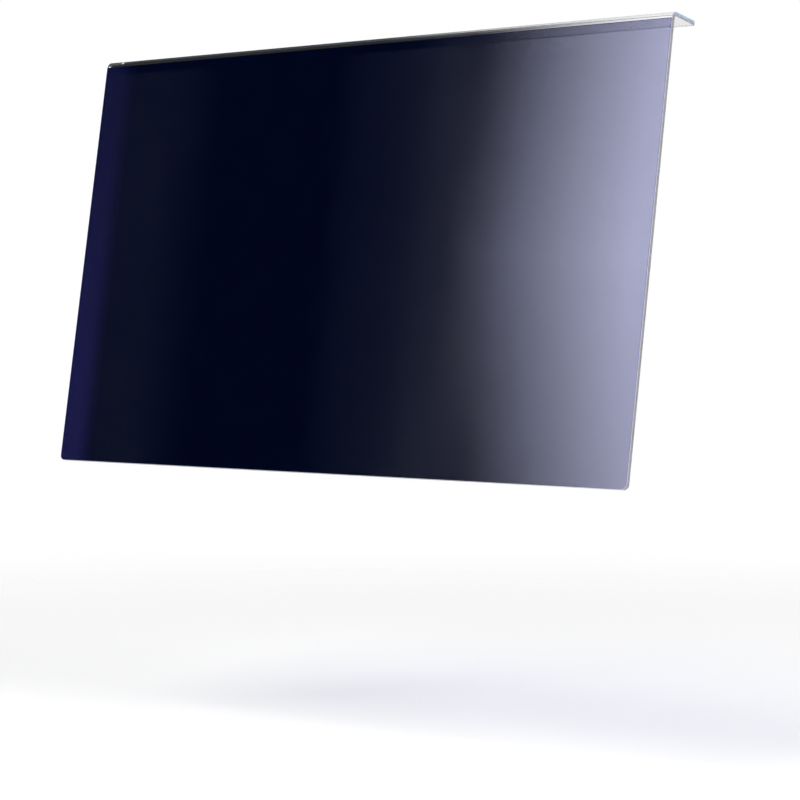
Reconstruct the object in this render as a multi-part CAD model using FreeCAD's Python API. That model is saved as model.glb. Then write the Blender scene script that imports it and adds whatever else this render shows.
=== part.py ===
import FreeCAD, Part
import os

# Hang-on privacy filter: a clear acrylic sheet, bent over along its top into a hook lip, with a dark
# micro-louvre film bonded to the front of the panel. Lengths are in millimetres.
# X runs along the width, the front faces -Y and Z is up. The origin is the middle of the flat underside
# of the lip, which is what the filter hangs by.

# Acrylic sheet
sheet_width = 530.0
sheet_height = 320.0  # top of the lip down to the bottom edge
sheet_thickness = 3.0
lip_depth = 29.0  # front face of the panel back to the free end of the lip
bend_inner_radius = 2.0
panel_corner_radius = 4.0  # the two bottom corners
lip_corner_radius = 2.0  # the two corners of the lip's free end
edge_round = 0.2  # polished edges, all round the sheet

# Privacy film
film_thickness = 0.5
film_margin = 0.05  # bare flat sheet between the film and the rounded edges or the bend
bond_line = 0.05  # clear adhesive between the sheet and the film

# Places worked out from the sizes
half_width = sheet_width / 2
bend_outer_radius = bend_inner_radius + sheet_thickness
lip_flat = lip_depth - sheet_thickness - bend_inner_radius - edge_round
back_y = -lip_flat / 2 - bend_inner_radius
front_y = back_y - sheet_thickness
lip_end_y = front_y + lip_depth
lip_top_z = sheet_thickness
bottom_z = lip_top_z - sheet_height
bend_start_z = lip_top_z - bend_outer_radius

position_tolerance = 1e-3


def near(a, b):
    return abs(a - b) < position_tolerance


def bend_arc(panel_end, lip_end, radius):
    """Quarter circle of the bend, from the end of the panel's line to the end of the lip's line."""
    centre = FreeCAD.Vector(panel_end.x, lip_end.y, panel_end.z)
    outwards = (panel_end + lip_end - centre * 2).normalize()
    return Part.Arc(panel_end, centre + outwards * radius, lip_end)


def sheet_section():
    """The hook-shaped section of the bent sheet, a face in the plane of its left end."""

    def at(y, z):
        return FreeCAD.Vector(-half_width, y, z)

    front_low = at(front_y, bottom_z)
    front_high = at(front_y, bend_start_z)
    top_front = at(front_y + bend_outer_radius, lip_top_z)
    top_end = at(lip_end_y, lip_top_z)
    under_end = at(lip_end_y, 0)
    under_front = at(back_y + bend_inner_radius, 0)
    back_high = at(back_y, -bend_inner_radius)
    back_low = at(back_y, bottom_z)
    curves = [
        Part.LineSegment(front_low, front_high),
        bend_arc(front_high, top_front, bend_outer_radius),
        Part.LineSegment(top_front, top_end),
        Part.LineSegment(top_end, under_end),
        Part.LineSegment(under_end, under_front),
        bend_arc(back_high, under_front, bend_inner_radius),
        Part.LineSegment(back_high, back_low),
        Part.LineSegment(back_low, front_low),
    ]
    outline = Part.sortEdges([curve.toShape() for curve in curves])[0]
    return Part.Face(Part.Wire(outline))


def round_corners(solid, radius, on_border):
    """Rounds the two corners, seen face on, where the ends meet the border that on_border picks."""
    at_ends = [edge for edge in solid.Edges if near(edge.BoundBox.XLength, 0)]
    return solid.makeFillet(radius, [edge for edge in at_ends if on_border(edge.BoundBox)])


def is_rim(face):
    """True for the faces round the sheet's cut rim: its ends, bottom, lip end and rounded corners."""
    first_u, last_u, first_v, last_v = face.ParameterRange
    normal = face.normalAt((first_u + last_u) / 2, (first_v + last_v) / 2)
    faces_sideways = abs(normal.x) > 0.5
    box = face.BoundBox
    return faces_sideways or near(box.ZMax, bottom_z) or near(box.YMin, lip_end_y)


def rim_edges(solid):
    """The edges where the cut rim meets the broad faces of the panel, the bend and the lip."""
    rim = [edge for face in solid.Faces if is_rim(face) for edge in face.Edges]
    broad = [edge for face in solid.Faces if not is_rim(face) for edge in face.Edges]
    return [edge for edge in rim if any(edge.isSame(other) for other in broad)]


def hanger_sheet():
    """The clear sheet: panel, bend and lip in one piece, with rounded corners and polished edges."""
    sheet = sheet_section().extrude(FreeCAD.Vector(sheet_width, 0, 0))
    sheet = round_corners(sheet, panel_corner_radius, lambda box: near(box.ZMax, bottom_z))
    sheet = round_corners(sheet, lip_corner_radius, lambda box: near(box.YMin, lip_end_y))
    return sheet.makeFillet(edge_round, rim_edges(sheet))


def privacy_film():
    """The louvre film: flat on the panel's front, cut to its outline and ending where the bend starts."""
    inset = edge_round + film_margin
    left_x = inset - half_width
    low_z = bottom_z + inset
    film = Part.makeBox(
        sheet_width - 2 * inset,
        film_thickness,
        bend_start_z - film_margin - low_z,
        FreeCAD.Vector(left_x, front_y - bond_line - film_thickness, low_z),
    )
    return round_corners(film, panel_corner_radius - inset, lambda box: near(box.ZMax, low_z))


pieces = {
    "hanger_sheet": hanger_sheet(),
    "privacy_film": privacy_film(),
}

os.makedirs("parts", exist_ok=True)
for name, solid in pieces.items():
    solid.exportStep(f"parts/{name}.step")
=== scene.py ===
import math

import bmesh
import bpy
from mathutils import Matrix, Quaternion, Vector


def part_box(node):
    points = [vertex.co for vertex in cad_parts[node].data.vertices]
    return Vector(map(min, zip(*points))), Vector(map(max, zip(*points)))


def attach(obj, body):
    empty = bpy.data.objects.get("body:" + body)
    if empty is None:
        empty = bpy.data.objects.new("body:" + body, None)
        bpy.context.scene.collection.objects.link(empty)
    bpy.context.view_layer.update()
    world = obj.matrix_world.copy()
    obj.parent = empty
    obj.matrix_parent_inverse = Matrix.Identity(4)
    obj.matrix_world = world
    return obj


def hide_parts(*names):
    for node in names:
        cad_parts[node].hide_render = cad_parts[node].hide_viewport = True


# Hang-on privacy filter: a clear acrylic sheet with a hook lip, and a dark louvre film on its front.
# Metres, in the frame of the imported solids: X along the width, front towards -Y, Z up, with the flat
# underside of the lip at zero.

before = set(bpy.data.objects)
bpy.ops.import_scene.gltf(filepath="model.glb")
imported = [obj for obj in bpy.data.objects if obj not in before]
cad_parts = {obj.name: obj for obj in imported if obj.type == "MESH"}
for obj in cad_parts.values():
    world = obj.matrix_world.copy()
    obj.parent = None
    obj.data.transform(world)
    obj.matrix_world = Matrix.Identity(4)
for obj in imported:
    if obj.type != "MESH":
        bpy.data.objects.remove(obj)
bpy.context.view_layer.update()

MM = 0.001

sheet_low, sheet_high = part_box("hanger_sheet")
film_low, film_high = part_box("privacy_film")

# Clear sheet
SHEET_THICKNESS = sheet_high.z
BEND_INNER_RADIUS = 2 * MM
BEND_STEPS = 24
PANEL_CORNER_RADIUS = 4 * MM
LIP_CORNER_RADIUS = 2 * MM
CORNER_STEPS = 8
EDGE_ROUND = 0.2 * MM
EDGE_STEPS = 3

# Picking the edges, faces and vertices of a mesh
NEAR_END = 1 * MM
STRAIGHT_SHARE = 0.99  # of an edge's length, along one axis
SHARP_ANGLE = math.radians(60)
LEAST_SIDEWAYS = 0.01  # X of the normal of a face on the cut rim

# Louvre blades: upright, side by side through the film, with bare film in front of and behind them
BLADE_PITCH = 0.34 * MM
BLADE_WIDTH = 0.068 * MM
BLADE_COVER = 0.02 * MM
BLADE_END_MARGIN = 0.05 * MM
FILM_CORNER_RADIUS = PANEL_CORNER_RADIUS - (sheet_high.x - film_high.x)
# Blade depth as a share of the pitch, by place along the width. At the right it tapers to almost nothing,
# starting further out towards the bottom and the top of the film.
DEPTH_SHARES = (
    (-265 * MM, 0.746),
    (-190 * MM, 0.79),
    (-50 * MM, 0.897),
    (0 * MM, 0.926),
    (55 * MM, 0.965),
    (82 * MM, 0.971),
    (125 * MM, 1.005),
    (265 * MM, 1.005),
)
LEAST_DEPTH_SHARE = 0.02
RIGHT_TAPER = (88 * MM, 254 * MM)
RIGHT_TAPER_CURVE = 1.6
BOTTOM_TAPER_SHIFT = 42 * MM
TOP_TAPER_SHIFT = 18 * MM

# Film finish
FILM_TINT = (0.56, 0.575, 0.79)
FILM_CUT_TINT = (0.28, 0.26, 0.48)
FILM_CUT_TOP = 0.45 * MM
FILM_CUT_SIDE = 0.3 * MM
FILM_GLOSS = (0.25, 0.45, 1.0, 1)
FILM_COATING_IOR = 1.25
FILM_MOTTLE_SCALE = 60.0
FILM_MOTTLE_DETAIL = 3.0
FILM_ROUGHNESS = (0.08, 0.18)
BLADE_COLOUR = (0.0005, 0.0042, 0.033, 1)
# Painted sheen: a lighter, bluer blade colour in a band near the left end, stronger towards the bottom
BLADE_SHEEN_COLOUR = (0.039, 0.0345, 0.19, 1)
BLADE_SHEEN_BAND = (-228 * MM, -252 * MM)
BLADE_SHEEN_SHARE = (0.45, 1.0)  # of the painted sheen colour, at the top and at the bottom

# Acrylic finish
ACRYLIC_IOR = 1.49
ACRYLIC_COLOUR = (0.985, 0.985, 1.0, 1)
RIM_COLOUR = (0.62, 0.62, 0.68, 1)
RIM_HAZE = (0.4, 0.6)
# Haze share at the lip's free end, and at the left end of the bend and lip, where keeping the rim clear is
# painted shade
CLEAR_AND_SHADED_RIM_HAZE = 0.04
# Painted highlight: the lip's rim has a lighter, bluer haze colour and a larger haze share than the rest of
# the rim
LIP_RIM_HIGHLIGHT_COLOUR = (0.55, 0.77, 1.0, 1)
LIP_RIM_HIGHLIGHT_HAZE = 0.18
CUT_MARK_SCALE = 900.0
CUT_MARK_DETAIL = 2.0
SHADOW_TINT = (0.90, 0.92, 0.94, 1)

# Shader nodes. A mix node's sockets go by number, because those for values and for colours share names.
NOISE_SPAN = (0.3, 0.7)  # the values of a noise pattern between which a finish changes
MIX_VALUE_INPUTS = (0, 2, 3)
MIX_VALUE_RESULT = 0
MIX_COLOUR_INPUTS = (0, 6, 7)
MIX_COLOUR_RESULT = 2

# Floor
HANG_LEAN = math.radians(9.7)
FLOOR_DROP = 0.20
FLOOR_RADIUS = 3.0
FLOOR_STEPS = 96
FLOOR_FADE = (0.5, 1.6)
FLOOR_COLOUR = (0.95, 0.95, 0.95, 1)

# Room: light levels, and the directions between which they change, as X, Y or Z of a direction of length 1
WHITE = (1, 1, 1, 1)
BACKGROUND_LIGHT = 1.0
ROOM_LIGHT = 0.62
MIRRORED_FRONT_LIGHT = 0.12
MIRRORED_BACK_LIGHT = 0.3
MIRRORED_FAR_LEFT_LIGHT = 0.01
FRONT_TO_BACK = (-0.3, 0.5)
FAR_LEFT = (-0.585, -0.63)
SIDE_ON = (0.8, 0.95)

# Dark flags at the sides of the room, for light that has bounced inside the clear sheet
FLAG_LIGHT = 0.02
FLAG_EDGE = (0.585, 0.63)
FLAG_INNER_EDGE = (0.53, 0.60)  # level with the panel, and overhead
FLAG_LEVEL = (0.21, 0.17)
FLAG_OVERHEAD = (0.28, 0.36)
FLAG_BACK = (-0.3, -0.1)
FLAG_LEFT = (0.1, -0.1)
STRAIGHT_THROUGH_DEPTH = 3.5  # a ray straight through the sheet stays below this depth
LIGHT_BOUNCES = 24

# Soft lamps: place, width and watts
LAMPS = {
    "key": ((-0.35, -2.1, 1.7), 1.4, 40),
    "fill": ((1.8, -0.6, 1.0), 1.2, 20),
}

# Camera, fitted to the edges of the filter in the photograph
CAMERA_PLACE = Vector((1.1385, -1.3416, -0.4284))
CAMERA_AIM = Vector((0.0692, -0.0169, -0.2622))
CAMERA_ROLL = math.radians(-6.09)
CAMERA_LENS = 109.7
CAMERA_SENSOR = 36.0


def new_tree(name):
    """A material with an empty node tree and its output."""
    material = bpy.data.materials.new(name)
    material.use_nodes = True
    tree = material.node_tree
    tree.nodes.clear()
    output = tree.nodes.new("ShaderNodeOutputMaterial")
    return material, tree, output


def feed(tree, socket, value):
    """Links another node's output to the socket, or sets a plain value on it."""
    if isinstance(value, bpy.types.NodeSocket):
        tree.links.new(value, socket)
    else:
        socket.default_value = value


def feed_all(tree, sockets, values):
    """Feeds each socket in turn."""
    for socket, value in zip(sockets, values):
        feed(tree, socket, value)


def add(tree, kind, **values):
    """A node with the given inputs."""
    node = tree.nodes.new("ShaderNode" + kind)
    for name, value in values.items():
        feed(tree, node.inputs[name.replace("_", " ")], value)
    return node


def maths(tree, operation, *values):
    """The result of an operation on one or two values."""
    node = tree.nodes.new("ShaderNodeMath")
    node.operation = operation
    feed_all(tree, node.inputs, values)
    return node.outputs[0]


def either(tree, *masks):
    """The largest of several masks."""
    largest = masks[0]
    for mask in masks[1:]:
        largest = maths(tree, "MAXIMUM", largest, mask)
    return largest


def ramp(tree, value, start, end, low=0.0, high=1.0):
    """Goes from low to high while the value goes from start to end."""
    node = add(tree, "MapRange", Value=value, From_Min=start, From_Max=end, To_Min=low, To_Max=high)
    node.interpolation_type = "SMOOTHSTEP"
    return node.outputs[0]


def mix_shaders(tree, share, first, second):
    """The first shader with a share of the second."""
    node = tree.nodes.new("ShaderNodeMixShader")
    feed_all(tree, node.inputs, (share, first, second))
    return node.outputs[0]


def mix_colours(tree, share, first, second):
    """The first colour with a share of the second."""
    node = tree.nodes.new("ShaderNodeMix")
    node.data_type = "RGBA"
    feed_all(tree, [node.inputs[number] for number in MIX_COLOUR_INPUTS], (share, first, second))
    return node.outputs[MIX_COLOUR_RESULT]


def mix_values(tree, share, first, second):
    """The first value with a share of the second."""
    node = tree.nodes.new("ShaderNodeMix")
    feed_all(tree, [node.inputs[number] for number in MIX_VALUE_INPUTS], (share, first, second))
    return node.outputs[MIX_VALUE_RESULT]


def object_place(tree):
    """Object coordinates."""
    return tree.nodes.new("ShaderNodeTexCoord").outputs["Object"]


def axes(tree, vector):
    """The X, Y and Z outputs of a vector."""
    return add(tree, "SeparateXYZ", Vector=vector).outputs


def film_material():
    """Tinted see-through film with a low-glare bluish coating and darker cut edges."""
    material, tree, output = new_tree("louvre_film")
    place = object_place(tree)
    axis = axes(tree, place)
    cut = either(
        tree,
        maths(tree, "GREATER_THAN", axis["Z"], film_high.z - FILM_CUT_TOP),
        maths(tree, "LESS_THAN", axis["Z"], film_low.z + FILM_CUT_SIDE),
        maths(tree, "GREATER_THAN", maths(tree, "ABSOLUTE", axis["X"]), film_high.x - FILM_CUT_SIDE),
    )
    # Light crosses a front and a back face, and each of them takes the root of the tint.
    face_tints = [tuple(part ** 0.5 for part in tint) + (1,) for tint in (FILM_TINT, FILM_CUT_TINT)]
    clear = add(tree, "BsdfTransparent", Color=mix_colours(tree, cut, *face_tints))
    mottle = add(tree, "TexNoise", Vector=place, Scale=FILM_MOTTLE_SCALE, Detail=FILM_MOTTLE_DETAIL)
    roughness = ramp(tree, mottle.outputs[0], *NOISE_SPAN, *FILM_ROUGHNESS)
    gloss = add(tree, "BsdfAnisotropic", Color=FILM_GLOSS, Roughness=roughness)
    fresnel = add(tree, "Fresnel", IOR=FILM_COATING_IOR)
    surface = mix_shaders(tree, fresnel.outputs[0], clear.outputs[0], gloss.outputs[0])
    tree.links.new(surface, output.inputs["Surface"])
    return material


def blade_material():
    """Near-black blue of the louvre blades, with a painted sheen that makes them lighter and bluer near the
    left end, most of all near its bottom.
    """
    material, tree, output = new_tree("louvre_blades")
    axis = axes(tree, object_place(tree))
    # Painted sheen: the blades are lighter and bluer in a band near the left end, most of all near the
    # bottom
    downwards = ramp(tree, axis["Z"], film_high.z, film_low.z, *BLADE_SHEEN_SHARE)
    share = maths(tree, "MULTIPLY", ramp(tree, axis["X"], *BLADE_SHEEN_BAND), downwards)
    colour_with_sheen = mix_colours(tree, share, BLADE_COLOUR, BLADE_SHEEN_COLOUR)
    paint = add(tree, "BsdfDiffuse", Color=colour_with_sheen)
    tree.links.new(paint.outputs[0], output.inputs["Surface"])
    return material


def acrylic_glass(tree):
    """Clear polished acrylic."""
    glass = add(tree, "BsdfPrincipled", Base_Color=ACRYLIC_COLOUR, Roughness=0.0, IOR=ACRYLIC_IOR,
                Transmission_Weight=1.0)
    return glass.outputs[0]


def let_light_through(tree, surface):
    """The surface, with a paler shadow than solid glass would cast."""
    light_through = add(tree, "BsdfTransparent", Color=SHADOW_TINT)
    path = tree.nodes.new("ShaderNodeLightPath")
    return mix_shaders(tree, path.outputs["Is Shadow Ray"], surface, light_through.outputs[0])


def acrylic_material():
    """The broad polished faces of the sheet."""
    material, tree, output = new_tree("clear_acrylic")
    tree.links.new(let_light_through(tree, acrylic_glass(tree)), output.inputs["Surface"])
    return material


def rim_material():
    """The sheet's cut rim: hazy and finely marked, with a painted highlight that makes it lighter and bluer
    on the lip, clear at the lip's free end, and clear at the left end of the bend and lip as painted shade.
    """
    material, tree, output = new_tree("acrylic_rim")
    place = object_place(tree)
    axis = axes(tree, place)
    # Painted highlight on the lip's rim: a lighter, bluer haze colour and more haze
    lip = ramp(tree, axis["Z"], 0.0, SHEET_THICKNESS)
    haze_with_lip_highlight = add(tree, "BsdfDiffuse", Color=mix_colours(tree, lip, RIM_COLOUR, LIP_RIM_HIGHLIGHT_COLOUR))
    marks = add(tree, "TexNoise", Vector=place, Scale=CUT_MARK_SCALE, Detail=CUT_MARK_DETAIL)
    cut_haze_with_lip_highlight = ramp(tree, marks.outputs[0], *NOISE_SPAN, *RIM_HAZE)
    cut_haze_with_lip_highlight = maths(tree, "ADD", cut_haze_with_lip_highlight, maths(tree, "MULTIPLY", lip, LIP_RIM_HIGHLIGHT_HAZE))
    lip_end = maths(tree, "GREATER_THAN", axis["Y"], sheet_high.y - EDGE_ROUND)
    # Painted shade: at the left end of the bend and lip the rim is kept clear, with hardly any haze, so that
    # it looks dark
    shaded_left_end = maths(tree, "LESS_THAN", axis["X"], sheet_low.x + LIP_CORNER_RADIUS)
    past_panel = maths(tree, "GREATER_THAN", axis["Z"], -BEND_INNER_RADIUS)
    clear = either(tree, lip_end, maths(tree, "MULTIPLY", shaded_left_end, past_panel))
    share = mix_values(tree, clear, cut_haze_with_lip_highlight, CLEAR_AND_SHADED_RIM_HAZE)
    surface = mix_shaders(tree, share, acrylic_glass(tree), haze_with_lip_highlight.outputs[0])
    tree.links.new(let_light_through(tree, surface), output.inputs["Surface"])
    return material


def new_piece(name, bm, *materials):
    """An object at the origin with the modelled mesh."""
    mesh = bpy.data.meshes.new(name)
    bm.to_mesh(mesh)
    bm.free()
    for material in materials:
        mesh.materials.append(material)
    piece = bpy.data.objects.new(name, mesh)
    bpy.context.scene.collection.objects.link(piece)
    return piece


def only(kind, made):
    """What is of one kind among the things that an operator made."""
    return [thing for thing in made if isinstance(thing, kind)]


def extrude_end(bm, edge, offset):
    """Draws the section on from its end edge, and gives the new end edge."""
    made = bmesh.ops.extrude_edge_only(bm, edges=[edge])["geom"]
    bmesh.ops.translate(bm, verts=only(bmesh.types.BMVert, made), vec=offset)
    return only(bmesh.types.BMEdge, made)[0]


def bent_sheet():
    """The sheet with sharp edges: its section drawn up the panel, round the bend and along the lip."""
    bm = bmesh.new()
    left = sheet_low.x
    front = sheet_low.y
    back = front + SHEET_THICKNESS
    end = bm.edges.new([bm.verts.new((left, y, sheet_low.z)) for y in (front, back)])
    end = extrude_end(bm, end, (0, 0, -BEND_INNER_RADIUS - sheet_low.z))
    bend_middle = (left, back + BEND_INNER_RADIUS, -BEND_INNER_RADIUS)
    turned = bmesh.ops.spin(bm, geom=[end], cent=bend_middle, axis=(1, 0, 0), angle=-math.pi / 2,
                            steps=BEND_STEPS)["geom_last"]
    end = only(bmesh.types.BMEdge, turned)[0]
    extrude_end(bm, end, (0, sheet_high.y - back - BEND_INNER_RADIUS, 0))
    widened = bmesh.ops.extrude_face_region(bm, geom=bm.faces[:])["geom"]
    bmesh.ops.translate(bm, verts=only(bmesh.types.BMVert, widened), vec=(sheet_high.x - left, 0, 0))
    bmesh.ops.recalc_face_normals(bm, faces=bm.faces[:])
    return bm


def bevel_edges(bm, edges, offset, steps):
    """Rounds the edges."""
    bmesh.ops.bevel(bm, geom=edges, offset=offset, offset_type="OFFSET", segments=steps, profile=0.5,
                    affect="EDGES", material=-1)


def along(edge, axis):
    """True for an edge that lies along the axis, x, y or z."""
    span = edge.verts[1].co - edge.verts[0].co
    return abs(getattr(span, axis)) > STRAIGHT_SHARE * span.length


def at_bottom_edge(edge):
    """True for an edge through the sheet's thickness at its bottom corners."""
    return along(edge, "y") and all(vert.co.z < sheet_low.z + NEAR_END for vert in edge.verts)


def at_lip_end(edge):
    """True for an edge through the sheet's thickness at the corners of the lip's free end."""
    return along(edge, "z") and all(vert.co.y > sheet_high.y - NEAR_END for vert in edge.verts)


def is_sharp(edge):
    """True for an edge where two faces meet at a sharp angle."""
    return len(edge.link_faces) == 2 and edge.calc_face_angle() > SHARP_ANGLE


def round_sheet(bm):
    """Rounds the bottom corners, the lip's corners, and then every edge of the cut rim."""
    bevel_edges(bm, [edge for edge in bm.edges if at_bottom_edge(edge)], PANEL_CORNER_RADIUS, CORNER_STEPS)
    bevel_edges(bm, [edge for edge in bm.edges if at_lip_end(edge)], LIP_CORNER_RADIUS, CORNER_STEPS)
    bevel_edges(bm, [edge for edge in bm.edges if is_sharp(edge)], EDGE_ROUND, EDGE_STEPS)


def on_rim(face):
    """True for the faces round the sheet's cut rim: its ends, bottom, lip end and rounded edges."""
    middle = face.calc_center_median()
    at_end = middle.z < sheet_low.z + EDGE_ROUND or middle.y > sheet_high.y - EDGE_ROUND
    return at_end or abs(face.normal.x) > LEAST_SIDEWAYS


def area_normals(bm):
    """Vertex normals that follow the larger faces, so that a broad face looks flat up to its edge."""
    return [sum((face.normal * face.calc_area() for face in vert.link_faces), Vector()).normalized()
            for vert in bm.verts]


def clear_sheet(polished, cut):
    """The bent clear sheet, with polished broad faces and a cut rim."""
    bm = bent_sheet()
    round_sheet(bm)
    for face in bm.faces:
        face.smooth = True
        face.material_index = int(on_rim(face))
    normals = area_normals(bm)
    sheet = new_piece("clear_sheet", bm, polished, cut)
    sheet.data.normals_split_custom_set_from_vertices(normals)
    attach(sheet, "root")
    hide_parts("hanger_sheet")


def blade_depth(x, shift):
    """Depth of the blade at x, with the taper at the right moved by the shift."""
    start, end = RIGHT_TAPER
    taper = max(0.0, (x - start - shift) / (end - start)) ** RIGHT_TAPER_CURVE
    for (x0, share0), (x1, share1) in zip(DEPTH_SHARES, DEPTH_SHARES[1:]):
        if x0 <= x < x1:
            share = share0 + (share1 - share0) * (x - x0) / (x1 - x0)
    return max(LEAST_DEPTH_SHARE, share * (1 - taper)) * BLADE_PITCH


def corner_rise(x):
    """How far the film's rounded bottom corner lies above its bottom edge at x."""
    into = FILM_CORNER_RADIUS - (film_high.x - abs(x))
    if into <= 0:
        return 0.0
    return FILM_CORNER_RADIUS - math.sqrt(FILM_CORNER_RADIUS ** 2 - into ** 2)


def louvre_blades(material):
    """The row of upright blades inside the film."""
    count = int((film_high.x - film_low.x - 2 * BLADE_END_MARGIN) / BLADE_PITCH)
    first_x = -(count - 1) / 2 * BLADE_PITCH
    low_z = film_low.z + BLADE_END_MARGIN
    high_z = film_high.z - BLADE_END_MARGIN
    front_y = film_low.y + BLADE_COVER
    bm = bmesh.new()
    blade = bmesh.ops.create_cube(bm, size=1.0)["verts"]
    bmesh.ops.scale(bm, verts=blade, vec=(BLADE_WIDTH, BLADE_PITCH, high_z - low_z))
    middle = Vector((first_x, front_y + BLADE_PITCH / 2, (low_z + high_z) / 2))
    bmesh.ops.translate(bm, verts=blade, vec=middle)
    bmesh.ops.bisect_plane(bm, geom=bm.verts[:] + bm.edges[:] + bm.faces[:], plane_co=middle,
                           plane_no=(0, 0, 1))
    bmesh.ops.spin(bm, geom=bm.verts[:] + bm.edges[:] + bm.faces[:], angle=0, steps=count - 1,
                   use_duplicate=True, axis=(0, 0, 1), cent=(0, 0, 0), dvec=(BLADE_PITCH, 0, 0))
    for vert in bm.verts:
        at_bottom = vert.co.z < low_z + NEAR_END
        at_top = vert.co.z > high_z - NEAR_END
        if vert.co.y > middle.y:
            shift = at_bottom * BOTTOM_TAPER_SHIFT + at_top * TOP_TAPER_SHIFT
            vert.co.y = front_y + blade_depth(vert.co.x, shift)
        if at_bottom:
            vert.co.z = low_z + corner_rise(vert.co.x)
    blades = new_piece("louvre_blades", bm, material)
    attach(blades, "root")


def dress(node, material):
    """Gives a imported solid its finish."""
    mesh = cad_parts[node].data
    mesh.materials.clear()
    mesh.materials.append(material)


def floor_material(middle):
    """Matt pale floor that fades out around its middle."""
    material, tree, output = new_tree("floor")
    from_middle = tree.nodes.new("ShaderNodeVectorMath")
    from_middle.operation = "DISTANCE"
    feed_all(tree, from_middle.inputs, (object_place(tree), middle))
    fade = ramp(tree, from_middle.outputs["Value"], *FLOOR_FADE)
    matt = add(tree, "BsdfDiffuse", Color=FLOOR_COLOUR)
    gone = add(tree, "BsdfTransparent")
    surface = mix_shaders(tree, fade, matt.outputs[0], gone.outputs[0])
    tree.links.new(surface, output.inputs["Surface"])
    return material


def floor():
    """Round floor under the filter, tipped by the lean that the hanging panel has to it."""
    middle = Vector((0, (sheet_low.y + sheet_high.y) / 2, sheet_low.z - FLOOR_DROP))
    bm = bmesh.new()
    bmesh.ops.create_circle(bm, cap_ends=True, segments=FLOOR_STEPS, radius=FLOOR_RADIUS)
    bmesh.ops.rotate(bm, verts=bm.verts[:], cent=(0, 0, 0), matrix=Matrix.Rotation(HANG_LEAN, 3, "X"))
    bmesh.ops.translate(bm, verts=bm.verts[:], vec=middle)
    piece = new_piece("floor", bm, floor_material(middle))
    piece.visible_glossy = False
    piece.visible_transmission = False


def side_flags(tree, axis):
    """1 on the dark flags at the sides of the room, and 0 off them."""
    side = maths(tree, "ABSOLUTE", axis["X"])
    level = ramp(tree, maths(tree, "ABSOLUTE", axis["Z"]), *FLAG_LEVEL)
    overhead = ramp(tree, axis["Z"], *FLAG_OVERHEAD)
    inner = maths(tree, "MULTIPLY", ramp(tree, side, *FLAG_INNER_EDGE), either(tree, level, overhead))
    flag = either(tree, ramp(tree, side, *FLAG_EDGE), inner)
    reach = either(tree, ramp(tree, axis["Y"], *FLAG_BACK), ramp(tree, axis["X"], *FLAG_LEFT))
    return mix_values(tree, ramp(tree, side, *SIDE_ON), maths(tree, "MULTIPLY", flag, reach), 0.0)


def refracted_room(tree, axis, ray_depth):
    """The room through the clear sheet: white, with the flags in light that has bounced inside the sheet."""
    bounced = maths(tree, "GREATER_THAN", ray_depth, STRAIGHT_THROUGH_DEPTH)
    dark = maths(tree, "MULTIPLY", bounced, side_flags(tree, axis))
    return mix_values(tree, dark, BACKGROUND_LIGHT, FLAG_LIGHT)


def reflected_room(tree, axis):
    """The room in reflections: dim in front, brighter at the back, dark at the far left, plain side on."""
    side = maths(tree, "ABSOLUTE", axis["X"])
    back = mix_values(tree, ramp(tree, axis["X"], *FAR_LEFT), MIRRORED_BACK_LIGHT, MIRRORED_FAR_LEFT_LIGHT)
    room = mix_values(tree, ramp(tree, axis["Y"], *FRONT_TO_BACK), MIRRORED_FRONT_LIGHT, back)
    return mix_values(tree, ramp(tree, side, *SIDE_ON), room, ROOM_LIGHT)


def studio():
    """White background and a dim room, each kind of ray with its own view of it."""
    world = bpy.data.worlds.new("studio")
    bpy.context.scene.world = world
    world.use_nodes = True
    tree = world.node_tree
    tree.nodes.clear()
    path = tree.nodes.new("ShaderNodeLightPath").outputs
    axis = axes(tree, tree.nodes.new("ShaderNodeTexCoord").outputs["Generated"])
    reflected = reflected_room(tree, axis)
    refracted = refracted_room(tree, axis, path["Ray Depth"])
    strength = mix_values(tree, path["Is Glossy Ray"], ROOM_LIGHT, reflected)
    strength = mix_values(tree, path["Is Transmission Ray"], strength, refracted)
    strength = mix_values(tree, path["Is Camera Ray"], strength, BACKGROUND_LIGHT)
    background = add(tree, "Background", Color=WHITE, Strength=strength)
    output = tree.nodes.new("ShaderNodeOutputWorld")
    tree.links.new(background.outputs[0], output.inputs["Surface"])


def lamps():
    """Large soft lamps that point at the middle of the filter."""
    middle = Vector((0, 0, (sheet_low.z + sheet_high.z) / 2))
    for name, (place, size, watts) in LAMPS.items():
        data = bpy.data.lights.new(name, "AREA")
        data.shape = "SQUARE"
        data.size = size
        data.energy = watts
        obj = bpy.data.objects.new(name, data)
        obj.location = place
        obj.rotation_mode = "QUATERNION"
        obj.rotation_quaternion = (middle - Vector(place)).to_track_quat("-Z", "Y")
        bpy.context.scene.collection.objects.link(obj)


def camera():
    """The camera at the photograph's viewing angle."""
    data = bpy.data.cameras.new("camera")
    data.lens = CAMERA_LENS
    data.sensor_width = CAMERA_SENSOR
    obj = bpy.data.objects.new("camera", data)
    obj.location = CAMERA_PLACE
    look = CAMERA_AIM - CAMERA_PLACE
    obj.rotation_mode = "QUATERNION"
    obj.rotation_quaternion = Quaternion(look, CAMERA_ROLL) @ look.to_track_quat("-Z", "Y")
    bpy.context.scene.collection.objects.link(obj)
    bpy.context.scene.camera = obj


def render_settings():
    """Plain colours, and enough light bounces for the clear sheet and the blades."""
    scene = bpy.context.scene
    scene.view_settings.view_transform = "Standard"
    scene.cycles.max_bounces = LIGHT_BOUNCES
    scene.cycles.transmission_bounces = LIGHT_BOUNCES
    scene.cycles.transparent_max_bounces = LIGHT_BOUNCES


clear_sheet(acrylic_material(), rim_material())
dress("privacy_film", film_material())
louvre_blades(blade_material())
floor()
studio()
lamps()
camera()
render_settings()
